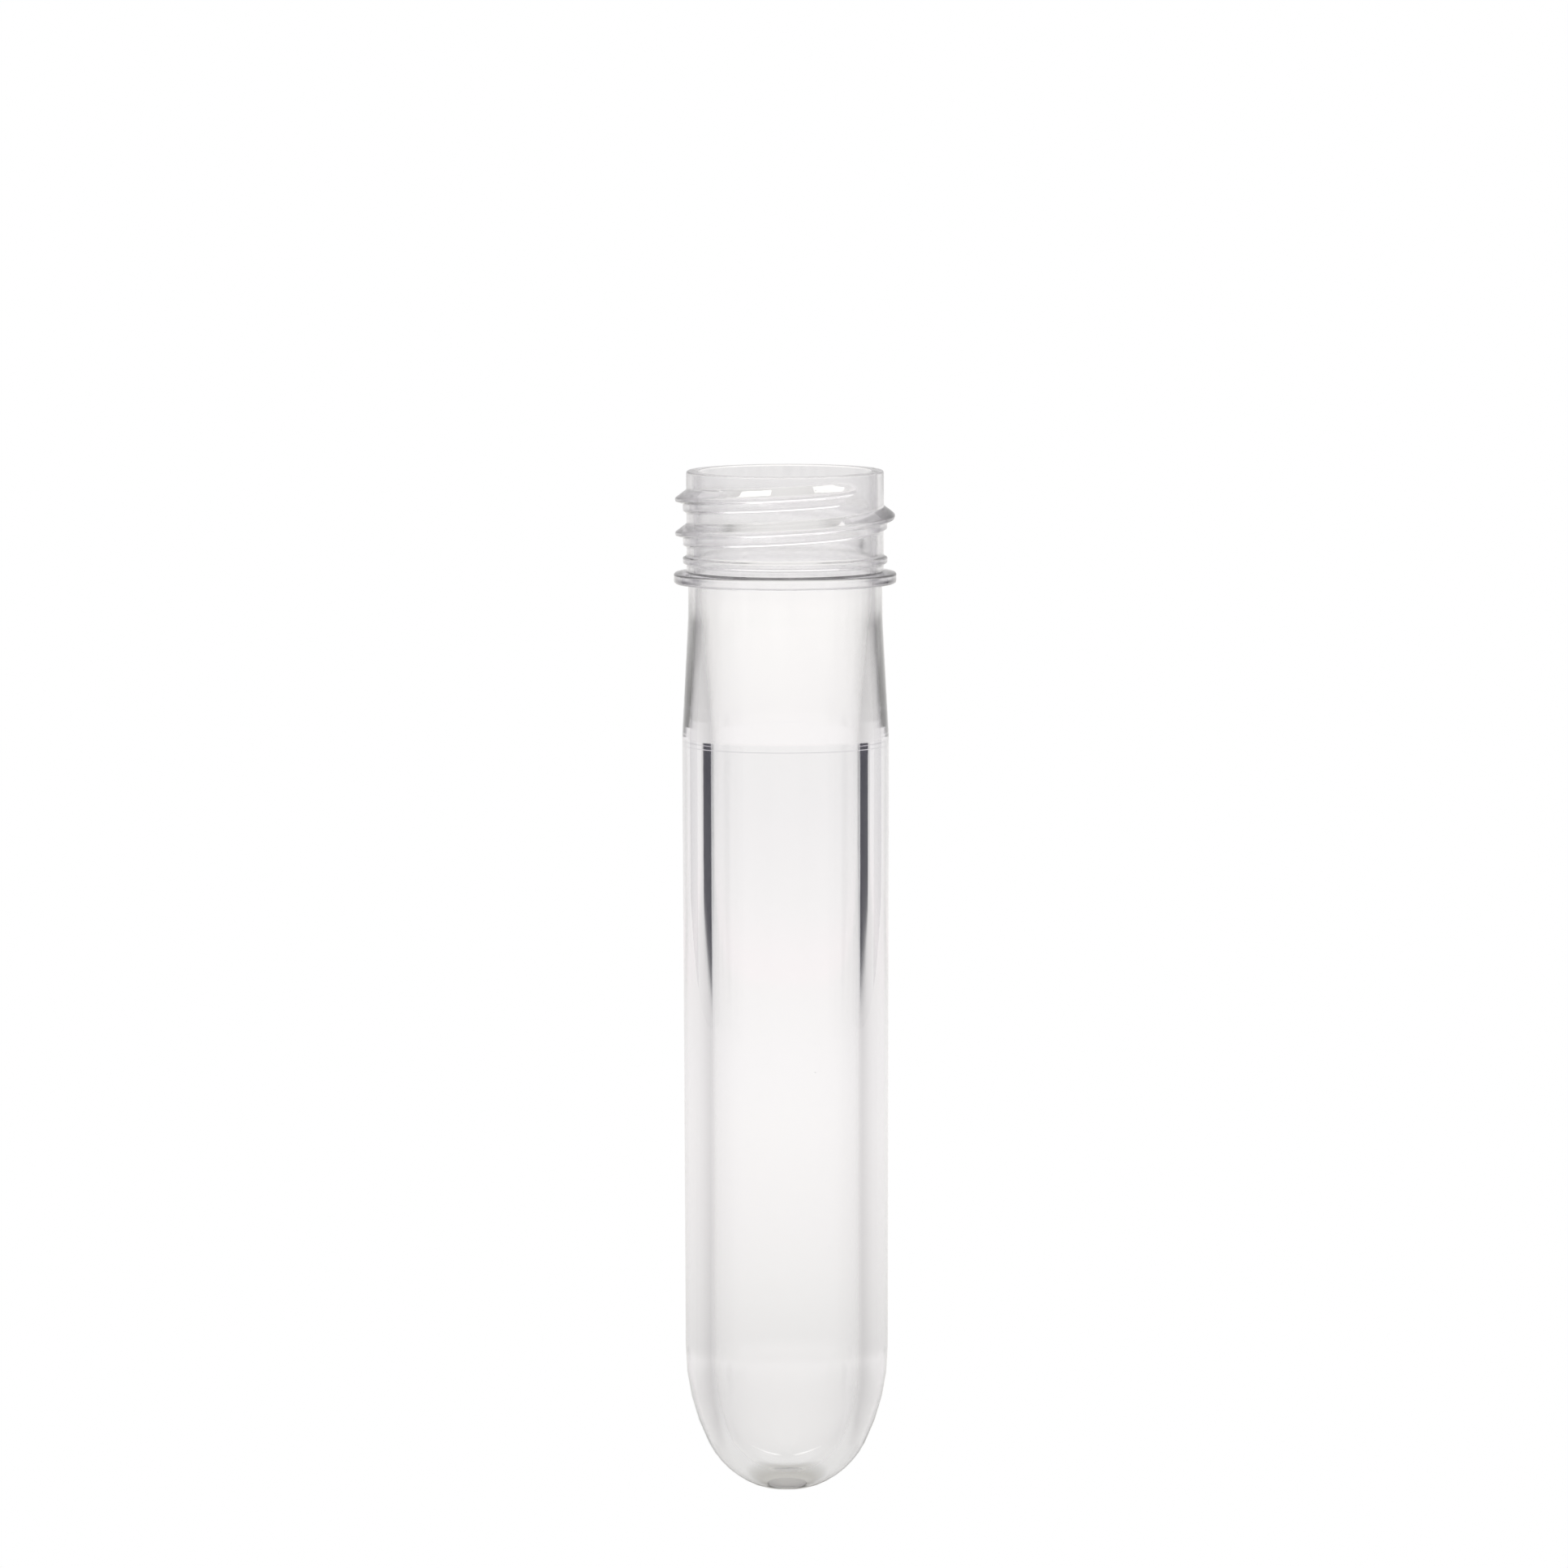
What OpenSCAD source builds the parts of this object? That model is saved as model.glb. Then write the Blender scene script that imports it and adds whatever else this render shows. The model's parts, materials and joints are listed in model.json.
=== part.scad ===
// Screw-neck test tube, injection moulded in one piece from clear PET.
// Frame: +Z up along the tube's axis, origin at the centre of the flat gate disc under the base.
// Millimetres. The thread's start faces the -Y side.

/* [Overall] */
// Height from the gate disc to the rim
total_h = 127.7; // [120:0.1:160]

/* [Body] */
// Outside diameter of the body just below the neck taper
body_top_d = 25.8; // [25.4:0.1:26.6]
// Outside diameter of the body where the base dome starts
body_base_d = 25.32; // [25:0.02:25.4]
// Radius of the arc that turns the wall in towards the base
shoulder_r = 27; // [24:0.2:34]
// Radius of the rounded tip of the base
tip_r = 10.95; // [10:0.05:11.5]
// Diameter of the flat gate disc under the base
gate_d = 5.5; // [3:0.1:6]
// Thickness of the base on the axis
floor_t = 2.2; // [2:0.1:4]

/* [Neck] */
// Outside diameter of the lip and of the thread's root
lip_d = 24.65; // [24.4:0.05:25]
// Outside diameter of the plain neck under the support ring
neck_d = 24.26; // [24:0.02:24.4]
// Rounding of the lip's outer edge
lip_round = 0.25; // [0.1:0.05:0.5]
// Height of the neck taper's lower end, where the straight body starts
taper_z = 95; // [88:0.1:98]
// Depth from the rim to the upper end of the neck taper
taper_depth = 18.4; // [16:0.1:22]

/* [Support ring and bead] */
// Outside diameter of the support ring
ring_d = 27.8; // [27.6:0.1:30]
// Thickness of the support ring at its outer edge
ring_t = 1.3; // [1.1:0.1:1.4]
// Thickness of the support ring at the neck, from which its top slopes down to the edge
ring_root_t = 1.6; // [1.4:0.05:2]
// Depth from the rim to the underside of the support ring
ring_depth = 14.05; // [13.8:0.05:15]
// Rounding of the support ring's edges
ring_round = 0.35; // [0.1:0.05:0.5]
// Depth from the rim to the middle of the bead below the thread
bead_depth = 11.15; // [10.8:0.05:11.4]
// How far the bead stands out of the neck
bead_h = 0.45; // [0.2:0.05:0.6]
// Height of the bead along the axis
bead_w = 1.1; // [0.8:0.05:1.2]

/* [Thread] */
// Outside diameter over the thread
thread_d = 27.43; // [26.6:0.01:27.6]
// Rise of the thread in one turn
pitch = 4.26; // [4:0.01:4.4]
// Depth from the rim to the thread's crest on the -X side, in its first turn
first_crest_depth = 3.6; // [3.2:0.01:3.8]
// Angle of the thread's upper end from -Y towards +X
start_angle = 57; // [20:1:80]
// Angle that the thread turns through
sweep_angle = 668; // [360:1:700]
// Angle over which the thread's upper end rises out of the neck
start_fade = 35; // [15:1:60]
// Angle over which the thread's lower end sinks into the neck
end_fade = 14; // [10:1:60]
// Height of the upper flank along the axis
upper_flank = 1.05; // [0.8:0.05:1.2]
// Width of the crest along the axis
crest_w = 0.5; // [0.1:0.02:0.6]
// Height of the lower flank along the axis, from the crest down to the step
lower_flank = 0.3; // [0.3:0.05:0.6]
// How far the step under the lower flank stands out of the neck
step_h = 0.45; // [0.2:0.05:0.7]
// Width of the step along the axis
step_w = 0.85; // [0.6:0.05:1]
// Height of the step's own lower flank along the axis
step_flank = 0.3; // [0.2:0.05:0.4]

/* [Bore] */
// Diameter of the neck's bore
bore_d = 21.76; // [21:0.02:22]
// Depth of the parallel bore from the rim
bore_depth = 15.8; // [14:0.1:17]
// Bore diameter at the top of the straight body
bore_top_d = 18.44; // [17.6:0.02:19]
// Bore diameter where the inner dome starts
bore_base_d = 18.1; // [17:0.1:18.4]
// Rounding of the rim's inner edge
bore_round = 0.1; // [0.1:0.05:0.4]
// Radius of the inner dome's tip
inner_tip_r = 7.7; // [6.5:0.1:8]
// Radius of the arc that turns the bore in towards its floor
inner_shoulder_r = 25.0; // [20:0.2:30]

/* [Hidden] */

$fn = 144;
clear_pet = [0.93, 0.95, 0.97, 0.45];

body_top_r = body_top_d / 2;
body_base_r = body_base_d / 2;
gate_r = gate_d / 2;
lip_r = lip_d / 2;
neck_r = neck_d / 2;
ring_r = ring_d / 2;
bore_r = bore_d / 2;
bore_top_r = bore_top_d / 2;
bore_base_r = bore_base_d / 2;

// The gate disc cuts the tip's sphere at z = 0, so the sphere's lowest point would be below it.
tip_z = sqrt(tip_r * tip_r - gate_r * gate_r) - tip_r;
dome_top_z = tip_z + dome_h(body_base_r, tip_r, shoulder_r);
inner_dome_top_z = floor_t + dome_h(bore_base_r, inner_tip_r, inner_shoulder_r);
taper_top_z = total_h - taper_depth;
ring_z = total_h - ring_depth;
ring_root_z = ring_z + ring_root_t;
bead_z = total_h - bead_depth;
bore_taper_z = total_h - bore_depth;
bore_body_z = taper_z - 0.9;

// Height of a two-arc dome: a tip arc that runs on tangent into a larger shoulder arc,
// which meets the wall upright.
function dome_h(wall_r, tip, shoulder) =
    tip + sqrt(pow(shoulder - tip, 2) - pow(shoulder - wall_r, 2));

// Height above the dome's lowest point at which its two arcs meet
function dome_join_h(wall_r, tip, shoulder) =
    dome_h(wall_r, tip, shoulder)
    - shoulder * (dome_h(wall_r, tip, shoulder) - tip) / (shoulder - tip);

// Right half of a two-arc dome standing on z = low
module dome_section(low, wall_r, tip, shoulder) {
    top = low + dome_h(wall_r, tip, shoulder);
    join = low + dome_join_h(wall_r, tip, shoulder);
    intersection() {
        translate([0, low + tip]) circle(tip);
        translate([0, low]) square([wall_r, tip]);
    }
    intersection() {
        translate([wall_r - shoulder, top]) circle(shoulder);
        translate([0, join]) square([wall_r, top - join]);
    }
}

// Right half of the support ring: flat underside, sloping top and rounded outer edges
module ring_section() {
    edge_z = ring_z + ring_t;
    polygon([
        [0, ring_z], [ring_r - ring_round, ring_z], [ring_r - ring_round, edge_z],
        [lip_r, ring_root_z], [0, ring_root_z]
    ]);
    translate([0, ring_z + ring_round]) square([ring_r, ring_t - 2 * ring_round]);
    for (z = [ring_z + ring_round, edge_z - ring_round])
        translate([ring_r - ring_round, z]) circle(ring_round);
}

// Lip and thread root: upright wall from the support ring to the rim, rounded at the rim
module lip_section() {
    translate([0, ring_z]) square([lip_r, total_h - lip_round - ring_z]);
    translate([0, total_h - lip_round - ring_t]) square([lip_r - lip_round, lip_round + ring_t]);
    translate([lip_r - lip_round, total_h - lip_round]) circle(lip_round);
}

// Round bead between the thread and the support ring
module bead_section() {
    bead_r = (bead_w * bead_w / 4 + bead_h * bead_h) / (2 * bead_h);
    translate([lip_r + bead_h - bead_r, bead_z]) circle(bead_r);
}

// Everything inside the tube's outer surface, apart from the thread
module outer_section() {
    difference() {
        dome_section(tip_z, body_base_r, tip_r, shoulder_r);
        translate([0, tip_z - 1]) square([body_base_r, 1 - tip_z]);
    }
    polygon([
        [0, dome_top_z], [body_base_r, dome_top_z], [body_top_r, taper_z],
        [neck_r, taper_top_z], [neck_r, ring_z], [0, ring_z]
    ]);
    ring_section();
    bead_section();
    lip_section();
}

// The hollow: inner dome, drafted bore, bore taper, parallel mouth and the rim's inner rounding
module bore_section() {
    above = 1;
    dome_section(floor_t, bore_base_r, inner_tip_r, inner_shoulder_r);
    polygon([
        [0, inner_dome_top_z], [bore_base_r, inner_dome_top_z], [bore_top_r, bore_body_z],
        [bore_r, bore_taper_z], [bore_r, total_h + above], [0, total_h + above]
    ]);
    difference() {
        translate([0, total_h - bore_round]) square([bore_r + bore_round, above]);
        translate([bore_r + bore_round, total_h - bore_round]) circle(bore_round);
    }
}

// Thread section as [radial, axial] points about the middle of its crest, from top to bottom.
// crest and step scale how far those two stand up, from 0 to 1; at 0 they are as deep in the
// neck's wall as the section's two ends, which run on along the flanks.
thread_h = thread_d / 2 - lip_r;
buried = 0.4;
crest_half = crest_w / 2;
step_top = -crest_half - lower_flank;
step_end = step_top - step_w;
function thread_section(crest, step) = [
    [-buried, crest_half + upper_flank * (1 + buried / thread_h)],
    [lerp(-buried, thread_h, crest), crest_half],
    [lerp(-buried, thread_h, crest), -crest_half],
    [lerp(-buried, step_h, step), step_top],
    [lerp(-buried, step_h, step), step_end],
    [-buried, step_end - step_flank * (1 + buried / step_h)]
];

function lerp(a, b, t) = a + (b - a) * t;

// Smooth rise of a thread end, from just above 0 to 1 in the given number of degrees
least_rise = 0.02;
function rise(from_end, degrees) =
    let (t = min(1, max(0, from_end / degrees)))
    max(least_rise, t * t * (3 - 2 * t));

// Single-start right-hand thread, swept from its upper end as one closed mesh. The step starts
// a little inside each end of the crest.
module thread() {
    angle_step = 7.5;
    spans = ceil(sweep_angle / angle_step);
    crest_z = total_h - first_crest_depth;
    minus_x = -90;
    points = [
        for (i = [0 : spans])
            let (
                turned = sweep_angle * i / spans,
                angle = start_angle - turned,
                left = sweep_angle - turned,
                crest = min(rise(turned, start_fade), rise(left, end_fade)),
                step = min(rise(turned - start_fade / 3, start_fade / 2),
                           rise(left - end_fade / 3, end_fade / 2)),
                section = thread_section(crest, step),
                mid_z = crest_z + pitch * (angle - minus_x) / 360
            )
            for (p = section)
                let (r = lip_r + p[0])
                [r * sin(angle), -r * cos(angle), mid_z + p[1]]
    ];
    n = len(thread_section(1, 1));
    sides = [
        for (i = [0 : spans - 1], k = [0 : n - 1])
            let (a = i * n + k, b = i * n + (k + 1) % n)
            each [[a, b, b + n], [a, b + n, a + n]]
    ];
    first_cap = [for (k = [n - 1 : -1 : 0]) k];
    last_cap = [for (k = [0 : n - 1]) spans * n + k];
    polyhedron(points, concat(sides, [first_cap, last_cap]), convexity = 8);
}

module tube() {
    color(clear_pet) {
        rotate_extrude() {
            difference() {
                outer_section();
                bore_section();
            }
        }
        thread();
    }
}

tube();
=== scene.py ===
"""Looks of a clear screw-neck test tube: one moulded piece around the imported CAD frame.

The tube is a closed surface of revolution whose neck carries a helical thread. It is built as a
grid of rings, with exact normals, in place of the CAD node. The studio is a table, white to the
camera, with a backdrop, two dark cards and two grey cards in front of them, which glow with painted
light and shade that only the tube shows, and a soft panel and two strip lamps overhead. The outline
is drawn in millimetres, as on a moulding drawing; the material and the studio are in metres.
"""
import json
import math

import bpy
import numpy as np
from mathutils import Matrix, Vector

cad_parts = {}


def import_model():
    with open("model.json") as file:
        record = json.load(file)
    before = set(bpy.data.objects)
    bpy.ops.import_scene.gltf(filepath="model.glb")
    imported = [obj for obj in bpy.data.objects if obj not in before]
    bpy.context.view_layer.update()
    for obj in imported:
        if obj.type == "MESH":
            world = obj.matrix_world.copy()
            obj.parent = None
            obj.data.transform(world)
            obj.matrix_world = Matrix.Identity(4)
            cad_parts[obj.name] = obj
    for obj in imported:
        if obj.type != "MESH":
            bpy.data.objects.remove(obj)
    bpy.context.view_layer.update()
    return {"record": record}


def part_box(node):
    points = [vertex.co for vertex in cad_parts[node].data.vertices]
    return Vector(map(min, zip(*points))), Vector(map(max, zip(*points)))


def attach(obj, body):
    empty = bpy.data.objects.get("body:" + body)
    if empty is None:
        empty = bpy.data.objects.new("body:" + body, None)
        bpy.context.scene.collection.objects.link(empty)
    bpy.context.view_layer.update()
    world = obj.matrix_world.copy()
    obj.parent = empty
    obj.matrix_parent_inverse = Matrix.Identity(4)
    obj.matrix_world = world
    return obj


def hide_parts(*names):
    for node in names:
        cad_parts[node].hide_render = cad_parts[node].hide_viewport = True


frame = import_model()
MM = 0.001

# ---------------------------------------------------------------- sizes, from the frame
mounts = {m["name"]: m for m in frame["record"]["mounts"]}
tube_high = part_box("tube")[1]
TOTAL_H = tube_high[2] / MM
RING_R = tube_high[0] / MM
BORE_R = mounts["mouth_bore"]["dims"]["r_mm"]
RING_Z = mounts["ring_underside"]["pos_m"][2] / MM

# ---------------------------------------------------------------- sizes that the drawing adds, mm
BODY_TOP_R = 12.9
BODY_BASE_R = 12.66
SHOULDER_R = 27.0
TIP_R = 10.95
GATE_R = 2.75
GATE_EDGE = 0.12
FLOOR_T = 2.2
LIP_R = 12.325
NECK_R = 12.13
LIP_ROUND = 0.25
BORE_ROUND = 0.1
TAPER_Z = 95.0
TAPER_TOP_Z = TOTAL_H - 18.4
BAND_TOP_Z = TAPER_Z - 0.5
BAND_H = 1.1
BAND_PROUD = 0.012
BAND_STEP_H = 0.1
BAND_ROUND = 0.05
TAPER_FOOT_ROUND = 1.0
TAPER_HEAD_ROUND = 40.0
RING_T = 1.3
RING_ROOT_T = 1.6
RING_ROUND = 0.35
RING_FILLET = 0.12
RING_TOP_FILLET = 0.06
BEAD_Z = TOTAL_H - 11.15
BEAD_H = 0.45
BEAD_W = 1.1
BEAD_SLOPE = 0.22
BEAD_ROUND = 0.25
BEAD_TOP_FILLET = 0.3
BORE_TAPER_Z = TOTAL_H - 15.8
BORE_BODY_Z = TAPER_Z - 0.9
BORE_TOP_R = 9.22
BORE_BASE_R = 9.05
BORE_HEAD_ROUND = 60.0
BORE_FOOT_ROUND = 2.5
INNER_TIP_R = 7.7
INNER_SHOULDER_R = 25.0

THREAD_H = 27.43 / 2 - LIP_R
PITCH = 4.26
CREST_Z = TOTAL_H - 3.6
START_DEG = 57.0
SWEEP_DEG = 668.0
START_FADE_DEG = 35.0
END_FADE_DEG = 14.0
UPPER_FLANK = 1.05
CREST_HALF = 0.25
LOWER_FLANK = 0.3
STEP_H = 0.45
STEP_W = 0.85
STEP_FLANK = 0.3
SINK = 0.4
STEP_RISE_H = 0.2
EDGE_SOFTNESS = 0.07
STEP_BLEND = 0.05
ROOT_BLEND = 0.06

# ---------------------------------------------------------------- fineness of the mesh, mm
AROUND = 240
FINE_ROW = 0.06
COARSE_ROW = 3.0
GATE_ROW = 0.4
ARC_STEP_DEG = 7.5
SLOPE_STEP = 0.01


# ---------------------------------------------------------------- outline of the tube
def line_rows(a, b, step):
    """Points on a straight stretch from a to b, with the normal on the right of travel."""
    length = math.dist(a, b)
    normal = ((b[1] - a[1]) / length, (a[0] - b[0]) / length)
    count = max(1, math.ceil(length / step))
    return [
        (a[0] + (b[0] - a[0]) * i / count, a[1] + (b[1] - a[1]) * i / count, *normal)
        for i in range(count + 1)
    ]


def arc_rows(centre, radius, start, end, outward=1):
    """Points on an arc between two angles in degrees, measured from +r towards +z."""
    count = max(2, math.ceil(abs(end - start) / ARC_STEP_DEG))
    rows = []
    for i in range(count + 1):
        a = math.radians(start + (end - start) * i / count)
        c, s = math.cos(a), math.sin(a)
        rows.append((centre[0] + radius * c, centre[1] + radius * s, outward * c, outward * s))
    return rows


def dome_rows(low, wall_r, tip, shoulder, outward=1):
    """Two-arc dome from the axis up to the wall, and the height at which it meets the wall."""
    drop = math.sqrt((shoulder - tip) ** 2 - (shoulder - wall_r) ** 2)
    top = low + tip + drop
    join = math.degrees(math.asin(drop / (shoulder - tip)))
    tip_arc = arc_rows((0, low + tip), tip, -90, -join, outward)
    shoulder_arc = arc_rows((wall_r - shoulder, top), shoulder, -join, 0, outward)
    return tip_arc + shoulder_arc[1:], top


def rounded_rows(corners):
    """Points along straight stretches joined by arcs. A corner is (r, z, rounding, row step)."""
    rows = []
    here = corners[0][:2]
    for (r, z, rounding, step), after in zip(corners[1:-1], corners[2:]):
        before = np.array((r, z)) - here
        onward = np.array(after[:2]) - (r, z)
        before /= np.hypot(*before)
        onward /= np.hypot(*onward)
        turn = math.atan2(before[0] * onward[1] - before[1] * onward[0], before @ onward)
        cut = rounding * math.tan(abs(turn) / 2)
        enter = (r - before[0] * cut, z - before[1] * cut)
        rows += line_rows(here, enter, step)
        side = math.copysign(1, turn)
        centre = (enter[0] - side * before[1] * rounding, enter[1] + side * before[0] * rounding)
        start = math.degrees(math.atan2(enter[1] - centre[1], enter[0] - centre[0]))
        rows += arc_rows(centre, rounding, start, start + math.degrees(turn), side)[1:-1]
        here = np.array((r + onward[0] * cut, z + onward[1] * cut))
    rows += line_rows(here, corners[-1][:2], corners[-1][3])
    return rows


INNER_DOME, INNER_DOME_TOP = dome_rows(
    FLOOR_T, BORE_BASE_R, INNER_TIP_R, INNER_SHOULDER_R, outward=-1
)


def gate_rows():
    """The flat gate disc, whose edge turns up softly into the dome."""
    return line_rows((0, 0), (GATE_R - GATE_EDGE, 0), GATE_ROW) + [
        (GATE_R - GATE_EDGE / 3, GATE_EDGE / 10, 0.11, -0.99),
        (GATE_R + GATE_EDGE / 2, GATE_EDGE / 3, 0.2, -0.98),
    ]


def tube_rows():
    """The whole outline from the gate disc, up the outside, over the rim and down the bore."""
    sphere_low = math.sqrt(TIP_R**2 - GATE_R**2) - TIP_R
    dome, dome_top = dome_rows(sphere_low, BODY_BASE_R, TIP_R, SHOULDER_R)
    dome = [row for row in dome if row[1] > GATE_EDGE / 3]

    band_low = BAND_TOP_Z - BAND_H
    bead_low, bead_top = BEAD_Z - BEAD_W / 2, BEAD_Z + BEAD_W / 2
    outside = rounded_rows([
        (BODY_BASE_R, dome_top, 0, COARSE_ROW),
        (BODY_TOP_R, band_low, BAND_ROUND, COARSE_ROW),
        (BODY_TOP_R + BAND_PROUD, band_low + BAND_STEP_H, BAND_ROUND, FINE_ROW),
        (BODY_TOP_R + BAND_PROUD, BAND_TOP_Z, TAPER_FOOT_ROUND, COARSE_ROW),
        (NECK_R, TAPER_TOP_Z, TAPER_HEAD_ROUND, COARSE_ROW),
        (NECK_R, RING_Z, RING_FILLET, COARSE_ROW),
        (RING_R, RING_Z, RING_ROUND, COARSE_ROW),
        (RING_R, RING_Z + RING_T, RING_ROUND, COARSE_ROW),
        (LIP_R, RING_Z + RING_ROOT_T, RING_TOP_FILLET, COARSE_ROW),
        (LIP_R, bead_low, BEAD_ROUND, COARSE_ROW),
        (LIP_R + BEAD_H, bead_low + BEAD_SLOPE, BEAD_ROUND, COARSE_ROW),
        (LIP_R + BEAD_H, bead_top - BEAD_SLOPE, BEAD_ROUND, COARSE_ROW),
        (LIP_R, bead_top, BEAD_TOP_FILLET, COARSE_ROW),
        (LIP_R, TOTAL_H, LIP_ROUND, FINE_ROW),
        (BORE_R, TOTAL_H, BORE_ROUND, COARSE_ROW),
        (BORE_R, BORE_TAPER_Z, BORE_HEAD_ROUND, COARSE_ROW),
        (BORE_TOP_R, BORE_BODY_Z, BORE_FOOT_ROUND, COARSE_ROW),
        (BORE_BASE_R, INNER_DOME_TOP, 0, COARSE_ROW),
    ])
    inner_dome = INNER_DOME[::-1]
    return gate_rows() + dome + outside[1:] + inner_dome[1:]


# ---------------------------------------------------------------- thread
def softened(points):
    """A function of height through (height, stand-out) points, with its corners rounded."""
    heights, outs = zip(*sorted(points))
    step = 0.01
    fine = np.arange(heights[0] - 1, heights[-1] + 1, step)
    sharp = np.interp(fine, heights, outs)
    reach = np.arange(-3 * EDGE_SOFTNESS, 3 * EDGE_SOFTNESS + step / 2, step)
    weights = np.exp(-0.5 * (reach / EDGE_SOFTNESS) ** 2)
    smooth = np.convolve(np.pad(sharp, len(reach) // 2, "edge"), weights / weights.sum(), "valid")
    return lambda u: np.interp(u, fine, smooth)


STEP_TOP = -CREST_HALF - LOWER_FLANK
STEP_END = STEP_TOP - STEP_W
LOWER_SLOPE = (THREAD_H - STEP_H) / LOWER_FLANK
crest_out = softened([
    (CREST_HALF + UPPER_FLANK * (1 + SINK / THREAD_H), -SINK),
    (CREST_HALF, THREAD_H),
    (-CREST_HALF, THREAD_H),
    (-CREST_HALF - (THREAD_H + SINK) / LOWER_SLOPE, -SINK),
])
step_out = softened([
    (STEP_TOP + 2 * STEP_RISE_H, -SINK),
    (STEP_TOP + STEP_RISE_H, STEP_H),
    (STEP_END, STEP_H),
    (STEP_END - STEP_FLANK * (1 + SINK / STEP_H), -SINK),
])


def rise(from_end, degrees):
    """Smooth rise of a thread end from 0 to 1, in the given number of degrees."""
    t = np.clip(from_end / degrees, 0, 1)
    return t * t * (3 - 2 * t)


def smooth_max(a, b, blend):
    """The greater of two stand-outs, with a fillet where they cross."""
    t = np.clip(0.5 + 0.5 * (a - b) / blend, 0, 1)
    return b + (a - b) * t + blend * t * (1 - t)


def thread_stand_out(z, degrees):
    """How far the thread stands out of the neck at a height, in mm, and an angle from -Y to +X."""
    out = np.full(np.broadcast(z, degrees).shape, -SINK)
    for turn in (0, -360, -720):
        angle = degrees + turn
        turned = START_DEG - angle
        left = SWEEP_DEG - turned
        u = z - CREST_Z - PITCH * (angle + 90) / 360
        up = np.minimum(rise(turned, START_FADE_DEG), rise(left, END_FADE_DEG))
        step_up = np.minimum(
            rise(turned - START_FADE_DEG / 3, START_FADE_DEG / 2),
            rise(left - END_FADE_DEG / 3, END_FADE_DEG / 2),
        )
        crest = (crest_out(u) + SINK) * up - SINK
        step = (step_out(u) + SINK) * step_up - SINK
        ridge = smooth_max(crest, step, STEP_BLEND)
        out = np.maximum(out, np.where((turned > 0) & (left > 0), ridge, -SINK))
    return smooth_max(out, 0 * out, ROOT_BLEND) * (out > -ROOT_BLEND)


# ---------------------------------------------------------------- mesh
def turned_points(rows):
    """Points and normals, in mm, of the rows turned about the axis, with the thread on the neck."""
    degrees = np.arange(AROUND) * 360 / AROUND - 180
    phi = np.radians(degrees)[None, :]
    r, z, nr, nz = (rows[:, k][:, None] for k in range(4))
    on_neck = (np.abs(r - LIP_R) < 1e-6) & (nr > 0.999)
    bump = np.where(on_neck, thread_stand_out(z, degrees[None, :]), 0)
    # slopes of the thread along the axis and round it, for the normals
    d = SLOPE_STEP
    d_deg = math.degrees(d / LIP_R)
    slope_z = thread_stand_out(z + d, degrees) - thread_stand_out(z - d, degrees)
    slope_a = thread_stand_out(z, degrees + d_deg) - thread_stand_out(z, degrees - d_deg)
    slope_z = np.where(on_neck, slope_z / (2 * d), 0)
    slope_a = np.where(on_neck, slope_a / (2 * d), 0)
    radius = r + bump
    x, y = np.sin(phi), -np.cos(phi)
    points = np.stack([radius * x, radius * y, z + 0 * phi], -1).reshape(-1, 3)
    out_n, up_n = nr + 0 * phi, nz - slope_z
    normals = np.stack([out_n * x - slope_a * -y, out_n * y - slope_a * x, up_n], -1)
    normals = normals.reshape(-1, 3)
    return points, normals / np.linalg.norm(normals, axis=1)[:, None]


def turned_faces(count):
    """Quads between that many rings of points, closed at both ends by a fan to a pole."""
    ring = np.arange(AROUND)
    after = (ring + 1) % AROUND
    base = (np.arange(count - 1) * AROUND)[:, None]
    quads = np.stack([base + ring, base + after, base + AROUND + after, base + AROUND + ring], -1)
    faces = quads.reshape(-1, 4).tolist()
    first, last = count * AROUND, count * AROUND + 1
    top = (count - 1) * AROUND
    faces += [(first, b, a) for a, b in zip(ring.tolist(), after.tolist())]
    faces += [(last, top + a, top + b) for a, b in zip(ring.tolist(), after.tolist())]
    return faces


def tube_mesh():
    """The closed tube, in metres, with a point attribute that is 1 in the bore and 0 outside."""
    outline = np.array(tube_rows())
    gate_z, floor_z = outline[[0, -1], 1]
    rows = outline[1:-1]
    points, normals = turned_points(rows)
    points = np.vstack([points, [(0, 0, gate_z), (0, 0, floor_z)]])
    normals = np.vstack([normals, [(0, 0, -1), (0, 0, 1)]])

    mesh = bpy.data.meshes.new("tube_clear")
    mesh.from_pydata((points * MM).tolist(), [], turned_faces(len(rows)))
    mesh.update()
    mesh.shade_smooth()
    mesh.normals_split_custom_set_from_vertices(normals.tolist())
    # the bore's wall faces the axis, and its dome's lowest part faces up
    in_bore = (rows[:, 2] < -0.02) | ((rows[:, 3] > 0.5) & (rows[:, 0] < BORE_BASE_R))
    in_bore = np.append(np.repeat(in_bore, AROUND), [False, True])
    mesh.attributes.new("bore", "FLOAT", "POINT").data.foreach_set("value", in_bore.astype(float))
    return mesh


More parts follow.
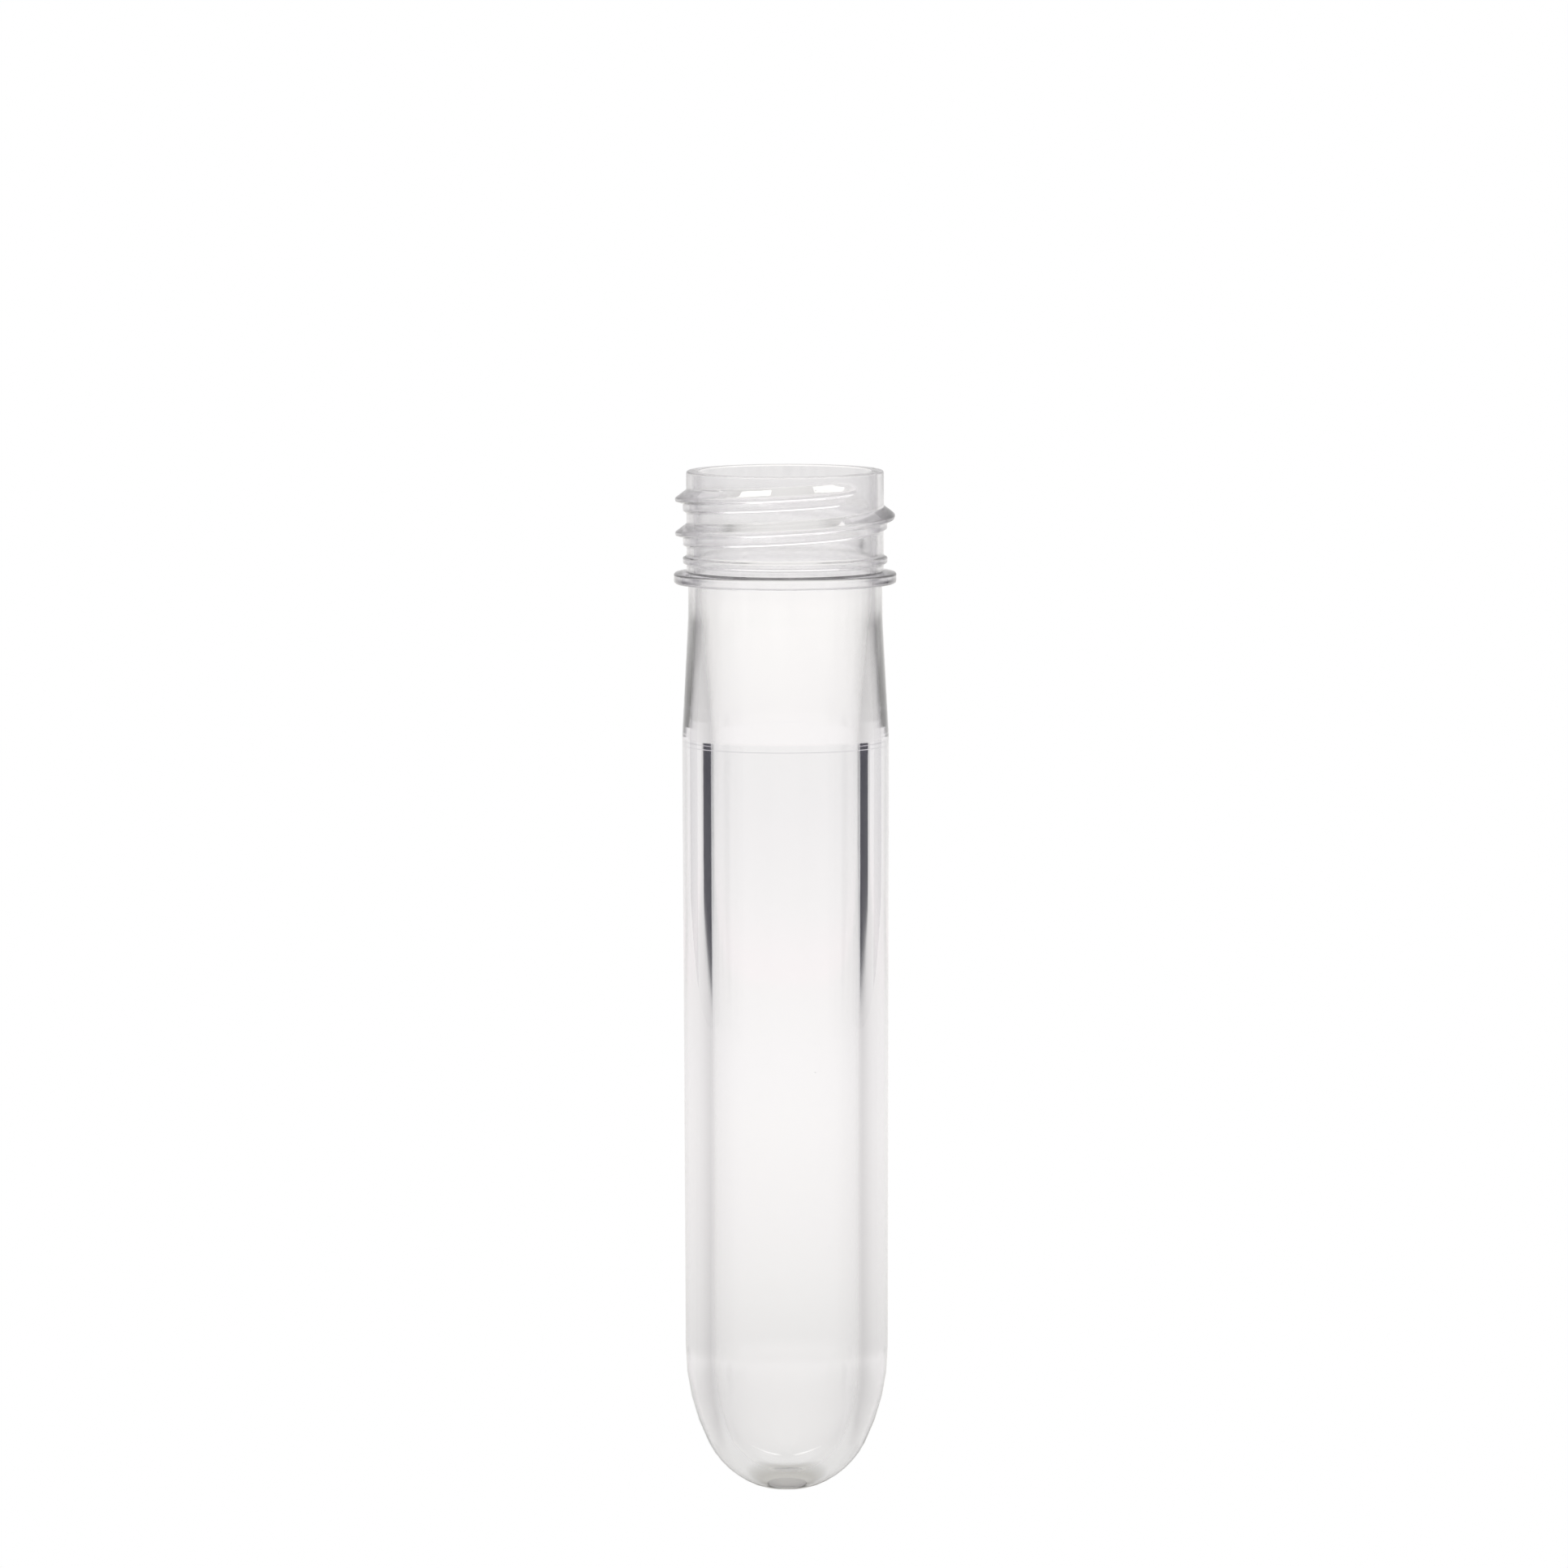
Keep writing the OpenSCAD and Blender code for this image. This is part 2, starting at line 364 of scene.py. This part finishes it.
# ---------------------------------------------------------------- nodes
class Nodes:
    """The emptied node tree of a material or a world, with short ways to fill it."""

    def __init__(self, owner):
        owner.use_nodes = True
        self.tree = owner.node_tree
        self.tree.nodes.clear()

    def feed(self, socket, value):
        """Link a socket to another node's output, or set its own value."""
        if isinstance(value, bpy.types.NodeSocket):
            self.tree.links.new(value, socket)
        else:
            socket.default_value = value

    def add(self, kind, settings=None, **inputs):
        """A new node. An underscore in an input's name stands for a space."""
        node = self.tree.nodes.new(kind)
        for name, value in (settings or {}).items():
            setattr(node, name, value)
        for name, value in inputs.items():
            self.feed(node.inputs[name.replace("_", " ")], value)
        return node

    def calc(self, operation, first, second, clamp=False):
        node = self.add("ShaderNodeMath", {"operation": operation, "use_clamp": clamp})
        self.feed(node.inputs[0], first)
        self.feed(node.inputs[1], second)
        return node.outputs[0]

    def axis(self, vector, name):
        return self.add("ShaderNodeSeparateXYZ", Vector=vector).outputs[name]

    def length(self, vector):
        node = self.add("ShaderNodeVectorMath", {"operation": "LENGTH"}, Vector=vector)
        return node.outputs["Value"]

    def between(self, value, low, high, out_low=0.0, out_high=1.0):
        """A smooth step from out_low, where the value is low, to out_high, where it is high."""
        step = self.add("ShaderNodeMapRange", {"interpolation_type": "SMOOTHSTEP"}, Value=value,
                        From_Min=low, From_Max=high, To_Min=out_low, To_Max=out_high)
        return step.outputs["Result"]

    def ramp(self, value, low, high, stops):
        """Colours along a value between low and high. A stop is (place from 0 to 1, colour)."""
        span = self.add("ShaderNodeMapRange", Value=value, From_Min=low, From_Max=high)
        colours = self.add("ShaderNodeValToRGB", Fac=span.outputs["Result"])
        elements = colours.color_ramp.elements
        while len(elements) < len(stops):
            elements.new(0.5)
        for element, (place, colour) in zip(elements, stops):
            element.position = place
            element.color = (*colour, 1)
        return colours.outputs["Color"]

    def colour_mix(self, factor, first, second, blend="MIX"):
        node = self.add("ShaderNodeMix", {"data_type": "RGBA", "blend_type": blend})
        for index, value in ((0, factor), (6, first), (7, second)):
            self.feed(node.inputs[index], value)
        return node.outputs[2]

    def camera_sees(self, seen, other):
        """One shader to the camera, and another to every other ray."""
        path = self.add("ShaderNodeLightPath")
        mix = self.add("ShaderNodeMixShader")
        for index, value in enumerate((path.outputs["Is Camera Ray"], other, seen)):
            self.feed(mix.inputs[index], value)
        return mix.outputs[0]


def grey(level):
    return (level, level, level)


# ---------------------------------------------------------------- clear PET
PET_IOR = 1.575
PET_DENSITY = 18.5
PET_PASSES = (0.03, 0.0, 0.12)

# roughness of the bore, and the heights between which it changes
BODY_SATIN = 0.05
NECK_SATIN = 0.19
NECK_SATIN_Z = (0.09, 0.112)
BASE_SATIN = 0.16
BASE_SATIN_START_Z = (0.009, 0.013)
BASE_SATIN_END_Z = (0.008, 0.022)

FLOW_SCALE = 900.0
FLOW_STRETCH = 0.06
FLOW_DEPTH = 0.00002
FLOW_STRENGTH = 0.12

GATE_RIM = (0.0024, 0.0029)
GATE_ROUGHNESS = 0.5
GATE_MILK = 0.2

DUST_SCALE = 260.0
DUST_CHOICE = 0.86
DUST_DOT = (0.01, 0.024)
DUST_TOP_Z = (0.104, 0.106)
DUST_ROUGHNESS = 0.5
DUST_MILK = 0.45
DUST_COLOUR = (0.38, 0.37, 0.4)


def melt_flow(nodes, place):
    """Noise in upright streaks, as the melt's flow leaves them."""
    stretch = nodes.add("ShaderNodeMapping", Vector=place, Scale=(1, 1, FLOW_STRETCH))
    flow = nodes.add("ShaderNodeTexNoise", Vector=stretch.outputs[0], Scale=FLOW_SCALE, Detail=3.0)
    return flow.outputs["Fac"]


def gate_disc(nodes, place, outside):
    """1 on the gate disc and 0 elsewhere."""
    near = nodes.between(nodes.length(place), *GATE_RIM, 1.0, 0.0)
    return nodes.calc("MULTIPLY", near, outside)


def dust_specks(nodes, place, outside):
    """1 on a small dot in a few cells of a coarse grid, on the outside below the neck."""
    cells = nodes.add("ShaderNodeTexVoronoi", Vector=place, Scale=DUST_SCALE)
    lot = nodes.add("ShaderNodeSeparateColor", Color=cells.outputs["Color"]).outputs[0]
    chosen = nodes.calc("GREATER_THAN", lot, DUST_CHOICE)
    dot = nodes.between(cells.outputs["Distance"], *DUST_DOT, 1.0, 0.0)
    below_neck = nodes.between(nodes.axis(place, "Z"), *DUST_TOP_Z, 1.0, 0.0)
    speck = nodes.calc("MULTIPLY", nodes.calc("MULTIPLY", chosen, dot), outside)
    return nodes.calc("MULTIPLY", speck, below_neck)


def bore_satin(nodes, place, flow, bore):
    """Roughness of the bore, a little streaked: more in the neck and above the floor."""
    height = nodes.axis(place, "Z")
    neck = nodes.between(height, *NECK_SATIN_Z, BODY_SATIN, NECK_SATIN)
    base_end = nodes.between(height, *BASE_SATIN_END_Z, BASE_SATIN, 0.0)
    base = nodes.calc("MULTIPLY", base_end, nodes.between(height, *BASE_SATIN_START_Z))
    streaks = nodes.between(flow, 0.3, 0.7, 0.8, 1.2)
    satin = nodes.calc("MULTIPLY", nodes.calc("MAXIMUM", neck, base), streaks)
    return nodes.calc("MULTIPLY", bore, satin)


def clear_pet():
    """Water-white PET, polished outside, with a faintly satin bore as the core pin leaves it.

    The gate is cloudy, the melt's flow shows as faint upright streaks, and the outside carries
    a few specks of dust.
    """
    mat = bpy.data.materials.new("clear_pet")
    nodes = Nodes(mat)
    place = nodes.add("ShaderNodeTexCoord").outputs["Object"]
    bore = nodes.add("ShaderNodeAttribute", {"attribute_name": "bore"}).outputs["Fac"]
    outside = nodes.calc("SUBTRACT", 1.0, bore)
    flow = melt_flow(nodes, place)
    gate = gate_disc(nodes, place, outside)
    dust = dust_specks(nodes, place, outside)

    rough = bore_satin(nodes, place, flow, bore)
    rough = nodes.calc("MAXIMUM", rough, nodes.calc("MULTIPLY", gate, GATE_ROUGHNESS))
    rough = nodes.calc("MAXIMUM", rough, nodes.calc("MULTIPLY", dust, DUST_ROUGHNESS))
    gate_milk = nodes.calc("MULTIPLY", gate, GATE_MILK)
    milk = nodes.calc("MAXIMUM", gate_milk, nodes.calc("MULTIPLY", dust, DUST_MILK))
    clear = nodes.calc("SUBTRACT", 1.0, milk, clamp=True)
    tint = nodes.ramp(dust, 0.0, 1.0, [(0.0, grey(1.0)), (1.0, DUST_COLOUR)])
    bump = nodes.add("ShaderNodeBump", Strength=FLOW_STRENGTH, Distance=FLOW_DEPTH, Height=flow)

    skin = nodes.add("ShaderNodeBsdfPrincipled", IOR=PET_IOR, Base_Color=tint, Roughness=rough,
                     Transmission_Weight=clear, Normal=bump.outputs[0])
    body = nodes.add("ShaderNodeVolumeAbsorption", Density=PET_DENSITY, Color=(*PET_PASSES, 1))
    nodes.add("ShaderNodeOutputMaterial", Surface=skin.outputs["BSDF"],
              Volume=body.outputs["Volume"])
    return mat


# ---------------------------------------------------------------- studio sizes and lights
FLOOR_HALF = 6.0
FLOOR_GAP = 0.0002
TABLE_HALF = 0.545
BACKDROP_Y = 0.63
BACKDROP_H = 0.5
CARD_NEAR_Y = 0.27
CARD_FAR_Y = 0.53
WING_NEAR_Y = -0.1
CARD_H = 0.1
PANEL_X = (-0.6, 0.6)
PANEL_Y = (0.42, 1.15)
PANEL_Z = 0.9
PANEL_LIGHT = (1.35, 1.33, 1.33)
STRIP_X = (0.11, 0.65)
STRIP_Y = (0.193, 0.43)
STRIP_Z = 0.85
STRIP_W = 0.068
STRIP_LIGHT = (5.0, 4.95, 4.9)

# The stops of each ramp are (place from 0 to 1, colour).
# painted light on the backdrop by height: bright bands low down, dimmer above
BACKDROP_STOPS = [
    (0.0, (1.105, 1.055, 1.04)), (0.008, (1.095, 1.055, 1.04)), (0.024, (1.06, 1.045, 1.025)),
    (0.056, (1.03, 1.015, 1.0)), (0.076, (1.03, 1.02, 1.0)), (0.1, (1.075, 1.065, 1.06)),
    (0.12, (1.055, 1.04, 1.03)), (0.133, (1.12, 1.105, 1.095)), (0.147, (1.09, 1.075, 1.07)),
    (0.155, (0.87, 0.86, 0.855)), (0.16, (0.745, 0.735, 0.735)), (1.0, (0.745, 0.735, 0.735)),
]
# painted shade on the dark cards: past the table's edge the room is dark below the table's top and
# dim above it
CARD_STOPS = [
    (0.0, (0.002, 0.002, 0.018)), (0.4, (0.004, 0.004, 0.02)), (0.55, (0.16, 0.15, 0.19)),
    (0.65, (0.22, 0.2, 0.24)), (0.85, (0.42, 0.4, 0.43)), (1.0, (0.75, 0.72, 0.75)),
]
# painted shade on the grey cards in front of them: darkest part way up, lighter at the foot and top
WING_STOPS = [
    (0.0, grey(0.75)), (0.3, grey(0.68)), (0.42, grey(0.49)), (0.65, grey(0.5)),
    (1.0, (0.76, 0.73, 0.76)),
]

# the floor's painted light from in front of the tube (0) round to behind it (1), and close to it
FLOOR_BY_HEADING = [
    (0.0, (0.86, 0.85, 0.84)), (0.15, (0.87, 0.86, 0.85)), (0.5, (0.92, 0.905, 0.9)),
    (0.64, (0.83, 0.82, 0.8)), (0.76, (0.69, 0.68, 0.665)), (0.9, (0.83, 0.82, 0.8)),
    (1.0, (0.935, 0.926, 0.9)),
]
NEAR_FLOOR = (0.93, 0.925, 0.9)
NEAR_REACH = 0.04
FLOOR_REACH = 3.0
FLOOR_BY_DISTANCE = [
    (0.0, grey(0.95)), (0.02, grey(0.985)), (0.05, grey(1.01)), (0.077, grey(1.085)),
    (0.1, (1.125, 1.12, 1.125)), (0.14, (1.17, 1.165, 1.17)), (0.167, (1.17, 1.165, 1.175)),
    (0.21, (1.15, 1.145, 1.15)), (0.33, grey(1.03)), (0.53, grey(0.9)), (1.0, grey(0.9)),
]
# painted contact shadow on the table under the tube, by distance from the axis
CONTACT_REACH = 0.02
CONTACT_SHADE = [
    (0.0, (0.78, 0.77, 0.74)), (0.13, (0.71, 0.7, 0.67)), (0.2, (0.62, 0.61, 0.58)),
    (0.29, (0.76, 0.76, 0.75)), (0.37, grey(0.96)), (1.0, grey(1.0)),
]
ROOM_BY_HEADING = [
    (0.0, (1.1, 1.02, 1.04)), (0.1, (1.03, 0.98, 1.0)), (0.25, (0.95, 0.9, 0.93)),
    (0.5, (0.8, 0.77, 0.79)), (0.75, (0.78, 0.75, 0.77)), (1.0, (0.84, 0.82, 0.83)),
]


# ---------------------------------------------------------------- studio materials
def floor_light(nodes):
    """Painted light on the table: dim to the sides behind the tube, brighter some way behind it,
    with a painted contact shadow under it.
    """
    place = nodes.add("ShaderNodeNewGeometry").outputs["Position"]
    distance = nodes.length(place)
    heading = nodes.add("ShaderNodeVectorMath", {"operation": "NORMALIZE"}, Vector=place)
    by_heading = nodes.ramp(nodes.axis(heading.outputs["Vector"], "Y"), -1, 1, FLOOR_BY_HEADING)
    near = nodes.ramp(distance, 0, NEAR_REACH, [(0.3, grey(1)), (1.0, grey(0))])
    light = nodes.colour_mix(near, by_heading, (*NEAR_FLOOR, 1))
    by_distance = nodes.ramp(distance, 0, FLOOR_REACH, FLOOR_BY_DISTANCE)
    light = nodes.colour_mix(1.0, light, by_distance, "MULTIPLY")
    contact = nodes.ramp(distance, 0, CONTACT_REACH, CONTACT_SHADE)
    return nodes.colour_mix(1.0, light, contact, "MULTIPLY")


def light_by_height(stops, top):
    """A light whose colour changes with height, from the table's top up to a height."""

    def build(nodes):
        place = nodes.add("ShaderNodeNewGeometry").outputs["Position"]
        return nodes.ramp(nodes.axis(place, "Z"), 0, top, stops)

    return build


def glow(name, light, camera_white=False):
    """A stage material that shines with one colour or a procedural one, or white to the camera."""
    mat = bpy.data.materials.new(name)
    nodes = Nodes(mat)
    colour = light(nodes) if callable(light) else (*light, 1)
    surface = nodes.add("ShaderNodeEmission", Color=colour).outputs[0]
    if camera_white:
        surface = nodes.camera_sees(nodes.add("ShaderNodeEmission").outputs[0], surface)
    nodes.add("ShaderNodeOutputMaterial", Surface=surface)
    return mat


def world():
    """White to the camera. To everything else a softly lit room, brighter in front."""
    room = bpy.data.worlds.new("studio")
    bpy.context.scene.world = room
    nodes = Nodes(room)
    direction = nodes.add("ShaderNodeTexCoord").outputs["Generated"]
    by_heading = nodes.ramp(nodes.axis(direction, "Y"), -1, 1, ROOM_BY_HEADING)
    lit = nodes.add("ShaderNodeBackground", Color=by_heading).outputs[0]
    white = nodes.add("ShaderNodeBackground", Color=(1, 1, 1, 1)).outputs[0]
    nodes.add("ShaderNodeOutputWorld", Surface=nodes.camera_sees(white, lit))


# ---------------------------------------------------------------- studio
def sheet(name, corners, material, camera=False):
    """A flat stage piece, which the camera sees only if asked."""
    mesh = bpy.data.meshes.new(name)
    mesh.from_pydata(corners, [], [range(len(corners))])
    obj = bpy.data.objects.new(name, mesh)
    bpy.context.scene.collection.objects.link(obj)
    mesh.materials.append(material)
    obj.visible_camera = camera


def level(name, x, y, z, material, camera=False):
    """A level sheet between two values of x and of y."""
    corners = [(x[0], y[0], z), (x[1], y[0], z), (x[1], y[1], z), (x[0], y[1], z)]
    sheet(name, corners, material, camera)


def upright(name, a, b, height, material):
    """An upright sheet that stands on the table from one (x, y) to another."""
    sheet(name, [(*a, 0), (*b, 0), (*b, height), (*a, height)], material)


def strip_lamp(name, a, b, material):
    """A narrow lamp that hangs level, from one (x, y) to another."""
    along = np.subtract(b, a) / math.dist(a, b)
    side = np.array([-along[1], along[0]]) * STRIP_W / 2
    corners = [np.add(a, side), np.add(b, side), np.subtract(b, side), np.subtract(a, side)]
    sheet(name, [(*corner, STRIP_Z) for corner in corners], material)


def studio():
    """The table, its backdrop, the cards and lamps on both sides, and the room around them."""
    floor = (-FLOOR_HALF, FLOOR_HALF)
    # the floor is white to the camera; every other ray sees its painted light and shadow
    floor_glow = glow("pale_floor_painted_light", floor_light, camera_white=True)
    level("floor", floor, floor, -FLOOR_GAP, floor_glow, camera=True)
    # the backdrop glows with painted light, which only the tube shows
    backdrop = glow("backdrop", light_by_height(BACKDROP_STOPS, BACKDROP_H))
    upright("backdrop", (-TABLE_HALF, BACKDROP_Y), (TABLE_HALF, BACKDROP_Y), BACKDROP_H, backdrop)

    # the cards glow with painted shade and dim light, which only the tube shows
    dark = glow("dark_card_painted_shade", light_by_height(CARD_STOPS, CARD_H))
    wing = glow("wing_card_painted_shade", light_by_height(WING_STOPS, CARD_H))
    strip = glow("strip_lamp", STRIP_LIGHT)
    for side, sign in (("left", -1), ("right", 1)):
        x = sign * TABLE_HALF
        upright(f"card_{side}", (x, CARD_NEAR_Y), (x, CARD_FAR_Y), CARD_H, dark)
        upright(f"wing_{side}", (x, WING_NEAR_Y), (x, CARD_NEAR_Y), CARD_H, wing)
        inner = (sign * STRIP_X[0], STRIP_Y[0])
        outer = (sign * STRIP_X[1], STRIP_Y[1])
        strip_lamp(f"strip_lamp_{side}", inner, outer, strip)
    level("overhead", PANEL_X, PANEL_Y, PANEL_Z, glow("overhead", PANEL_LIGHT))
    world()


# ---------------------------------------------------------------- camera
CAMERA_DISTANCE = 2.0
CAMERA_HEIGHT = 0.2674
AIM_HEIGHT = 0.08846
LENS_MM = 369.1
SENSOR_MM = 36
ROLL_DEG = -0.12
SIDE_SHIFT = -0.0002
CLIP = (0.01, 50)


def camera():
    """A long lens, a little above the tube's rim, aimed at the middle of the photograph's frame."""
    data = bpy.data.cameras.new("camera")
    data.lens = LENS_MM
    data.sensor_width = SENSOR_MM
    data.clip_start, data.clip_end = CLIP
    obj = bpy.data.objects.new("camera", data)
    bpy.context.scene.collection.objects.link(obj)
    obj.location = (SIDE_SHIFT, -CAMERA_DISTANCE, CAMERA_HEIGHT)
    pitch = math.atan2(CAMERA_HEIGHT - AIM_HEIGHT, CAMERA_DISTANCE)
    obj.rotation_euler = (math.pi / 2 - pitch, 0, 0)
    obj.rotation_euler.rotate_axis("Z", math.radians(ROLL_DEG))
    bpy.context.scene.camera = obj


def render_settings():
    """Plain colours, and enough bounces for light that passes several walls."""
    scene = bpy.context.scene
    scene.view_settings.view_transform = "Standard"
    scene.view_settings.look = "None"
    scene.cycles.max_bounces = 24
    scene.cycles.transmission_bounces = 20
    scene.cycles.glossy_bounces = 12
    scene.cycles.transparent_max_bounces = 8
    scene.cycles.use_denoising = True


def build_tube():
    """The visual tube, which takes the place of the CAD node."""
    tube = bpy.data.objects.new("tube_clear", tube_mesh())
    bpy.context.scene.collection.objects.link(tube)
    tube.data.materials.append(clear_pet())
    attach(tube, "root")
    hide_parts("tube")


build_tube()
studio()
camera()
render_settings()
